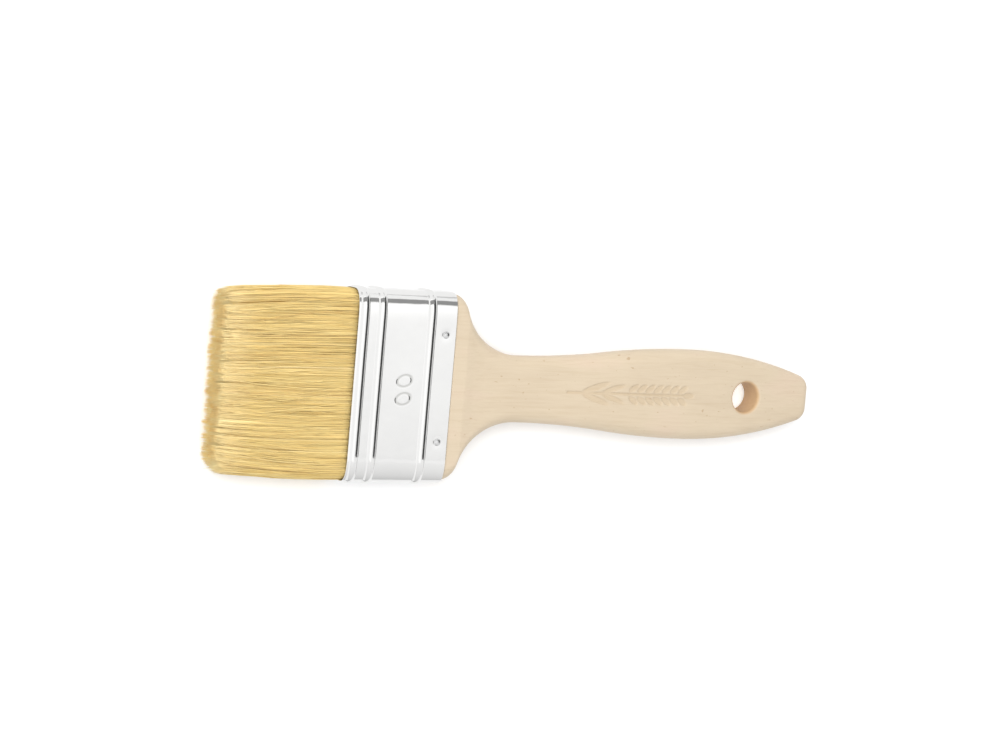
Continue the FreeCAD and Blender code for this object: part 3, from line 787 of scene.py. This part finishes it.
def build_bristles():
    """The three banks.  Hairs near the surface keep all their steps, and those inside keep every other."""
    out, line_y, line_z, tone, under, root_z = hair_lines()
    chance = np.random.default_rng(SEED + 1)
    radius = HAIR_RADIUS * chance.uniform(0.8, 1.15, len(tone))
    turn = chance.uniform(0, 2 * math.pi, len(tone))
    banks = {
        "front_bristles": root_z > BANK_SPLIT,
        "middle_bristles": np.abs(root_z) <= BANK_SPLIT,
        "back_bristles": root_z < -BANK_SPLIT,
    }
    pieces = []
    for node, chosen in banks.items():
        points, faces, tones, depths = [], [], [], []
        total = 0
        outer = chosen & (under < SURFACE_HAIRS)
        inner = chosen & (under >= SURFACE_HAIRS)
        for hairs, kept in ((outer, slice(None)), (inner, slice(None, None, 2))):
            lines = (values[hairs][:, kept] for values in (-out, line_y, line_z))
            block, block_faces = hair_prisms(*lines, radius[hairs], turn[hairs])
            faces += [tuple(total + corner for corner in face) for face in block_faces]
            tones.append(np.repeat(tone[hairs], block.shape[1]))
            depths.append(np.repeat(np.clip(under[hairs] / ROOT_CORNER, 0, 1), block.shape[1]))
            points.append(block.reshape(-1, 3))
            total += len(points[-1])
        points = np.concatenate(points)
        piece = add_mesh(node.replace("bristles", "bristle_bank"), points, faces, [node])
        add_attribute(piece, "tone", np.concatenate(tones))
        # The material paints deep hairs paler and lets them emit from this depth: painted light between the
        # hairs.
        add_attribute(piece, "depth", np.concatenate(depths))
        add_attribute(piece, "out", -points[:, 0])
        pieces.append(piece)
    return pieces


# ---------------------------------------------------------------------------------------------
# Materials
# ---------------------------------------------------------------------------------------------

def new_material(name):
    material = bpy.data.materials.new(name)
    material.use_nodes = True
    return material, material.node_tree, material.node_tree.nodes["Principled BSDF"]


def add_node(tree, kind, **inputs):
    """A node whose inputs are set by name, either to a plain value or to another node's output."""
    node = tree.nodes.new(kind)
    for name, value in inputs.items():
        socket = node.inputs[name.replace("_", " ")]
        if isinstance(value, bpy.types.NodeSocket):
            tree.links.new(value, socket)
        else:
            socket.default_value = value
    return node


def place(tree, scale, turn=(0, 0, 0)):
    """Object coordinates in millimetres, scaled per axis to stretch a pattern."""
    where = tree.nodes.new("ShaderNodeTexCoord")
    scaled = tuple(part / MM for part in scale)
    return add_node(tree, "ShaderNodeMapping", Vector=where.outputs["Object"], Scale=scaled,
                    Rotation=turn).outputs[0]


def noise(tree, vector, scale, detail=4.0, roughness=0.55, distortion=0.0):
    return add_node(tree, "ShaderNodeTexNoise", Vector=vector, Scale=scale, Detail=detail,
                    Roughness=roughness, Distortion=distortion).outputs["Fac"]


def ramp(tree, factor, *stops):
    """Colours by factor: each stop is (position, (red, green, blue))."""
    node = add_node(tree, "ShaderNodeValToRGB", Fac=factor)
    elements = node.color_ramp.elements
    while len(elements) < len(stops):
        elements.new(0.5)
    for element, (position, colour) in zip(elements, stops):
        element.position = position
        element.color = (*colour, 1.0)
    return node.outputs["Color"]


def level(tree, factor, low, high, to_low=0.0, to_high=1.0):
    """A straight-line change of range, held at both ends."""
    node = add_node(tree, "ShaderNodeMapRange", Value=factor)
    for index, value in ((1, low), (2, high), (3, to_low), (4, to_high)):
        node.inputs[index].default_value = value
    return node.outputs[0]


def blend(tree, kind, factor, under, over):
    """Two colours mixed in the given way."""
    node = tree.nodes.new("ShaderNodeMix")
    node.data_type = "RGBA"
    node.blend_type = kind
    for index, value in ((0, factor), (6, under), (7, over)):
        if isinstance(value, bpy.types.NodeSocket):
            tree.links.new(value, node.inputs[index])
        else:
            node.inputs[index].default_value = value if index == 0 else (*value, 1.0)
    return node.outputs[2]


def attribute(tree, name):
    node = tree.nodes.new("ShaderNodeAttribute")
    node.attribute_name = name
    return node.outputs["Fac"]


def bump(tree, height, strength, distance, below=None):
    node = add_node(tree, "ShaderNodeBump", Height=height, Strength=strength, Distance=distance)
    if below is not None:
        tree.links.new(below, node.inputs["Normal"])
    return node.outputs["Normal"]


def make_beech():
    """Pale beech sanded smooth: soft long grain, a slight pink and yellow drift and short dark flecks."""
    material, tree, shader = new_material("beech")
    drift = noise(tree, place(tree, (0.035, 0.12, 0.12)), 1.0, 3.0)
    colour = ramp(tree, drift, (0.3, (0.535, 0.440, 0.320)), (0.5, (0.56, 0.465, 0.340)),
                  (0.7, (0.575, 0.465, 0.350)))
    grain = noise(tree, place(tree, (0.05, 1.1, 1.1)), 1.0, 6.0, 0.62, 0.4)
    fine = noise(tree, place(tree, (0.16, 4.2, 4.2)), 1.0, 3.0, 0.6)
    colour = blend(tree, "MULTIPLY", 1.0, colour, ramp(
        tree, grain, (0.30, (0.945, 0.93, 0.905)), (0.52, (1.0, 1.0, 1.0)), (0.75, (1.01, 1.01, 1.01))))
    colour = blend(tree, "MULTIPLY", 1.0, colour, ramp(
        tree, fine, (0.30, (0.965, 0.955, 0.94)), (0.55, (1.0, 1.0, 1.0))))
    flecks = noise(tree, place(tree, (0.5, 1.0, 1.0)), 1.0, 2.0, 0.5)
    fleck = level(tree, flecks, 0.70, 0.75, 0.0, 0.6)
    colour = blend(tree, "MIX", fleck, colour, (0.36, 0.235, 0.13))
    pressed = attribute(tree, "pressed")
    colour = blend(tree, "MULTIPLY", level(tree, pressed, 0.0, 1.0, 0.0, 0.5), colour, (0.93, 0.88, 0.80))
    colour = blend(tree, "MULTIPLY", attribute(tree, "drilled"), colour, (1.0, 0.83, 0.65))
    tree.links.new(colour, shader.inputs["Base Color"])
    tree.links.new(level(tree, grain, 0.3, 0.7, 0.58, 0.50), shader.inputs["Roughness"])
    shader.inputs["Specular IOR Level"].default_value = 0.35
    rough = bump(tree, fine, 0.35, 0.00006)
    tree.links.new(bump(tree, grain, 0.35, 0.00012, rough), shader.inputs["Normal"])
    return material


def make_tinplate():
    """Bright tinplate: nearly a mirror, softly clouded, with faint rolling lines, fine scratches and
    painted shade in the pressed ovals.
    """
    material, tree, shader = new_material("tinplate")
    cloud = noise(tree, place(tree, (0.06, 0.06, 0.06)), 1.0, 3.0)
    lines = noise(tree, place(tree, (3.0, 0.05, 0.05)), 1.0, 4.0)
    scratch = noise(tree, place(tree, (1.2, 0.25, 0.25), (0, 0, 0.6)), 2.0, 5.0, 0.7)
    colour = ramp(tree, cloud, (0.3, (0.842, 0.840, 0.832)), (0.7, (0.882, 0.880, 0.870)))
    # The pressed ovals are painted darker: painted shade in their grooves.
    pressed = level(tree, attribute(tree, "pressed"), 0.05, 0.5)
    colour = blend(tree, "MULTIPLY", pressed, colour, (0.74, 0.74, 0.73))
    tree.links.new(colour, shader.inputs["Base Color"])
    shader.inputs["Metallic"].default_value = 1.0
    tree.links.new(level(tree, scratch, 0.3, 0.7, 0.05, 0.10), shader.inputs["Roughness"])
    soft = bump(tree, cloud, 0.25, 0.0006)
    tree.links.new(bump(tree, lines, 0.12, 0.00002, soft), shader.inputs["Normal"])
    return material


def make_nail_steel():
    material, tree, shader = new_material("nail_steel")
    cloud = noise(tree, place(tree, (1.1, 1.1, 1.1)), 1.0, 4.0)
    tree.links.new(ramp(tree, cloud, (0.3, (0.66, 0.66, 0.66)), (0.7, (0.80, 0.80, 0.80))),
                   shader.inputs["Base Color"])
    shader.inputs["Metallic"].default_value = 1.0
    tree.links.new(level(tree, cloud, 0.3, 0.7, 0.22, 0.36), shader.inputs["Roughness"])
    tree.links.new(bump(tree, cloud, 0.4, 0.00004), shader.inputs["Normal"])
    return material


def make_bristle():
    """Undyed hog bristle: straw to gold, each hair its own tone, drifting in streaks along the hair.  Hairs
    deep in the bundle are painted paler and given a faint golden emission: painted light that lifts the
    shade between hairs.
    """
    material, tree, shader = new_material("bristle")
    tone = attribute(tree, "tone")
    out = attribute(tree, "out")
    streak = noise(tree, place(tree, (0.055, 0.75, 0.75)), 1.0, 4.0, 0.65)
    long_streak = noise(tree, place(tree, (0.02, 0.28, 0.28)), 1.0, 2.0)
    colour = ramp(tree, tone, (0.03, (0.68, 0.485, 0.205)), (0.12, (0.745, 0.555, 0.225)),
                  (0.5, (0.785, 0.605, 0.248)), (0.85, (0.81, 0.635, 0.285)), (1.0, (0.85, 0.70, 0.385)))
    colour = blend(tree, "MULTIPLY", 0.9, colour, ramp(
        tree, streak, (0.30, (0.91, 0.85, 0.74)), (0.46, (0.98, 0.97, 0.95)), (0.70, (1.02, 1.02, 1.02))))
    colour = blend(tree, "MULTIPLY", 0.8, colour, ramp(
        tree, long_streak, (0.35, (0.96, 0.94, 0.89)), (0.65, (1.02, 1.02, 1.01))))
    depth = attribute(tree, "depth")
    # Hairs deep in the bundle are painted paler: painted light that lifts the shade between hairs.
    inner = level(tree, depth, 0.03, 0.2, 0.0, 0.9)
    colour = blend(tree, "MIX", inner, colour, (0.97, 0.82, 0.42))
    # Deep hairs also emit a faint golden light, none at the tips: painted light standing in for light
    # passing through the hairs.
    tree.links.new(level(tree, depth, 0.05, 0.4, 0.0, 0.09), shader.inputs["Emission Strength"])
    glow = blend(tree, "MIX", level(tree, out, 38.0, 42.0), (0.80, 0.52, 0.20), (0.0, 0.0, 0.0))
    tree.links.new(glow, shader.inputs["Emission Color"])
    paler = level(tree, out, 32.0, 40.0, 0.0, 0.25)
    colour = blend(tree, "MIX", paler, colour, (0.97, 0.82, 0.52))
    # The end of the bundle is tinted in brown and pale patches: the brown is painted shade in the gaps
    # between the tips, the pale is the tips' own lighter colour.
    tuft = noise(tree, place(tree, (0.05, 0.5, 0.5)), 1.0, 3.0, 0.6)
    near_tip = level(tree, out, 42.0, 44.2, 0.0, 1.0)
    colour = blend(tree, "MULTIPLY", near_tip, colour, ramp(
        tree, tuft, (0.36, (0.82, 0.56, 0.24)), (0.50, (0.98, 0.78, 0.45)), (0.66, (1.10, 0.95, 0.68))))
    tree.links.new(colour, shader.inputs["Base Color"])
    tree.links.new(level(tree, tone, 0.0, 1.0, 0.42, 0.58), shader.inputs["Roughness"])
    shader.inputs["Specular IOR Level"].default_value = 0.2
    scales = noise(tree, place(tree, (6.0, 6.0, 6.0)), 1.0, 2.0)
    tree.links.new(bump(tree, scales, 0.2, 0.00002), shader.inputs["Normal"])
    return material


def make_resin():
    material, tree, shader = new_material("setting_resin")
    cloud = noise(tree, place(tree, (0.25, 0.25, 0.25)), 1.0, 4.0)
    tree.links.new(ramp(tree, cloud, (0.3, (0.30, 0.15, 0.04)), (0.7, (0.48, 0.27, 0.09))),
                   shader.inputs["Base Color"])
    tree.links.new(level(tree, cloud, 0.3, 0.7, 0.25, 0.45), shader.inputs["Roughness"])
    tree.links.new(bump(tree, cloud, 0.4, 0.0002), shader.inputs["Normal"])
    return material


def make_spacer_wood():
    material, tree, shader = new_material("spacer_wood")
    grain = noise(tree, place(tree, (1.0, 0.05, 1.0)), 1.0, 5.0, 0.6, 0.3)
    tree.links.new(ramp(tree, grain, (0.3, (0.50, 0.35, 0.20)), (0.7, (0.66, 0.50, 0.32))),
                   shader.inputs["Base Color"])
    tree.links.new(level(tree, grain, 0.3, 0.7, 0.7, 0.55), shader.inputs["Roughness"])
    tree.links.new(bump(tree, grain, 0.5, 0.0001), shader.inputs["Normal"])
    return material


def wear(piece, material):
    """Give a piece one material in place of any it has."""
    piece.data.materials.clear()
    piece.data.materials.append(material)


# ---------------------------------------------------------------------------------------------
# The brush
# ---------------------------------------------------------------------------------------------

wear(build_ferrule(), make_tinplate())
wear(build_handle(), make_beech())
nail_steel = make_nail_steel()
for name in sorted(frame["nodes"]):
    if "nail" in name:
        wear(build_nail(name), nail_steel)
bristle = make_bristle()
for bank in build_bristles():
    wear(bank, bristle)
wear(frame["nodes"]["resin_block"], make_resin())
spacer_wood = make_spacer_wood()
for name in ("front_spacer", "back_spacer"):
    wear(frame["nodes"][name], spacer_wood)


# ---------------------------------------------------------------------------------------------
# Stage, light and camera
# ---------------------------------------------------------------------------------------------

# Painted light: the floor emits under the hang hole, fully within the core and fading out by the reach.
HOLE_PAINTED_LIGHT = 0.5
HOLE_PAINTED_LIGHT_CORE = 0.005
HOLE_PAINTED_LIGHT_REACH = 0.012
FLOOR_REACH = 1.6
CARD_CENTRE = Vector((MOUTH + 0.017, 0.0, 0.0141))


def add_floor():
    """A white table top, faintly mottled.  Under the hang hole, where the handle shades it, the table
    softly emits light: painted light that lifts that shadow.
    """
    corners = [(x * FLOOR_REACH, y * FLOOR_REACH, 0.0) for x, y in ((-1, -1), (1, -1), (1, 1), (-1, 1))]
    mesh = bpy.data.meshes.new("floor")
    mesh.from_pydata(corners, [], [(0, 1, 2, 3)])
    floor = bpy.data.objects.new("floor", mesh)
    bpy.context.scene.collection.objects.link(floor)
    material, tree, shader = new_material("floor")
    cloud = noise(tree, place(tree, (0.004, 0.004, 0.004)), 1.0, 3.0)
    tree.links.new(ramp(tree, cloud, (0.3, (0.92, 0.92, 0.92)), (0.7, (0.94, 0.94, 0.94))),
                   shader.inputs["Base Color"])
    shader.inputs["Roughness"].default_value = 0.8
    shader.inputs["Specular IOR Level"].default_value = 0.1
    # Emission round the hang hole: painted light on the floor where the handle shades it.
    where = tree.nodes.new("ShaderNodeTexCoord")
    away = tree.nodes.new("ShaderNodeVectorMath")
    away.operation = "DISTANCE"
    tree.links.new(where.outputs["Object"], away.inputs[0])
    away.inputs[1].default_value = (MOUTH + HOLE * MM, 0.0, 0.0)
    glow = level(tree, away.outputs["Value"], HOLE_PAINTED_LIGHT_CORE, HOLE_PAINTED_LIGHT_REACH, HOLE_PAINTED_LIGHT, 0.0)
    tree.links.new(glow, shader.inputs["Emission Strength"])
    shader.inputs["Emission Color"].default_value = (1.0, 1.0, 1.0, 1.0)
    wear(floor, material)
    floor.visible_glossy = False


def toward(tilt_x, tilt_y, distance):
    """A point in the direction that leans by two angles from straight up, about the ferrule."""
    lean_x, lean_y = math.radians(tilt_x), math.radians(tilt_y)
    flat = math.cos(lean_y)
    way = Vector((math.sin(lean_x) * flat, math.sin(lean_y), math.cos(lean_x) * flat))
    return CARD_CENTRE + way * distance


def add_card(name, tilt_x, tilt_y, distance, near, far):
    """A card that only mirrors see, for the dark lines and bright stripes that a studio leaves in metal.

    It spans two ranges of angles, and its glow runs from near to far across the second range.
    """
    corners = [toward(x, y, distance) for x, y in (
        (tilt_x[0], tilt_y[0]), (tilt_x[1], tilt_y[0]), (tilt_x[1], tilt_y[1]), (tilt_x[0], tilt_y[1]))]
    mesh = bpy.data.meshes.new(name)
    mesh.from_pydata(corners, [], [(0, 1, 2, 3)])
    card = bpy.data.objects.new(name, mesh)
    bpy.context.scene.collection.objects.link(card)
    card.visible_camera = False
    card.visible_diffuse = False
    card.visible_transmission = False
    card.visible_shadow = False
    card.visible_volume_scatter = False
    material, tree, shader = new_material(name)
    where = tree.nodes.new("ShaderNodeTexCoord")
    split = add_node(tree, "ShaderNodeSeparateXYZ", Vector=where.outputs["Object"])
    start, end = corners[0].y, corners[3].y
    glow = level(tree, split.outputs["Y"], start, end, near, far)
    tree.links.new(glow, shader.inputs["Emission Strength"])
    shader.inputs["Base Color"].default_value = (0.02, 0.02, 0.02, 1.0)
    shader.inputs["Emission Color"].default_value = (1.0, 1.0, 1.0, 1.0)
    shader.inputs["Roughness"].default_value = 1.0
    shader.inputs["Specular IOR Level"].default_value = 0.0
    wear(card, material)


def add_light(name, place_at, aim, size, power):
    """A soft lamp that mirrors don't see."""
    lamp = bpy.data.lights.new(name, "AREA")
    lamp.shape = "RECTANGLE"
    lamp.size, lamp.size_y = size
    lamp.energy = power
    light = bpy.data.objects.new(name, lamp)
    bpy.context.scene.collection.objects.link(light)
    light.location = place_at
    light.rotation_euler = (Vector(aim) - Vector(place_at)).to_track_quat("-Z", "Y").to_euler()
    light.visible_glossy = False


add_floor()
add_card("dark_card_side", (36, 75), (-11, 30), 0.7, 0.04, 0.02)
add_card("grey_card_side", (75, 90), (-30, 30), 0.7, 0.72, 0.72)
add_card("dark_card_top", (-30, 50), (17, 30), 0.65, 0.28, 0.32)
add_card("white_card", (-14, 19), (-40, 40), 0.8, 1.14, 1.14)
add_card("soft_card", (-56, -14), (-40, 40), 0.8, 1.01, 1.01)
add_card("glow_card", (19, 36), (-12, 17), 0.8, 0.91, 1.33)
add_card("corner_card_left", (-66, -36), (36, 58), 0.8, 0.92, 0.5)
add_card("corner_card_right", (44, 70), (36, 56), 0.8, 0.92, 0.6)
add_card("grey_card_low", (-30, 60), (-12, -110), 0.7, 0.93, 0.45)
add_light("overhead", (-0.7, 0.4, 0.95), (0.0, 0.0, 0.0), (1.0, 1.0), 11.5)

world = bpy.data.worlds.new("studio")
bpy.context.scene.world = world
world.use_nodes = True
world.node_tree.nodes["Background"].inputs["Color"].default_value = (1.0, 1.0, 1.0, 1.0)
world.node_tree.nodes["Background"].inputs["Strength"].default_value = 1.0
bpy.context.scene.view_settings.view_transform = "Standard"

# The camera stands to the bristles' side and looks down on the front of the brush.
AIM = Vector((-0.00913, 0.00424, 0.00705))
AIM_DISTANCE = 0.8250
YAW = math.radians(28.465)
PITCH = math.radians(5.632)
ROLL = math.radians(4.988)

lens = bpy.data.cameras.new("camera")
lens.sensor_width = 36.0
lens.lens = 93.78
camera = bpy.data.objects.new("camera", lens)
bpy.context.scene.collection.objects.link(camera)
turned = Matrix.Rotation(-YAW, 4, "Y") @ Matrix.Rotation(-PITCH, 4, "X") @ Matrix.Rotation(ROLL, 4, "Z")
camera.matrix_world = Matrix.Translation(AIM + turned.to_3x3().col[2] * AIM_DISTANCE) @ turned
bpy.context.scene.camera = camera
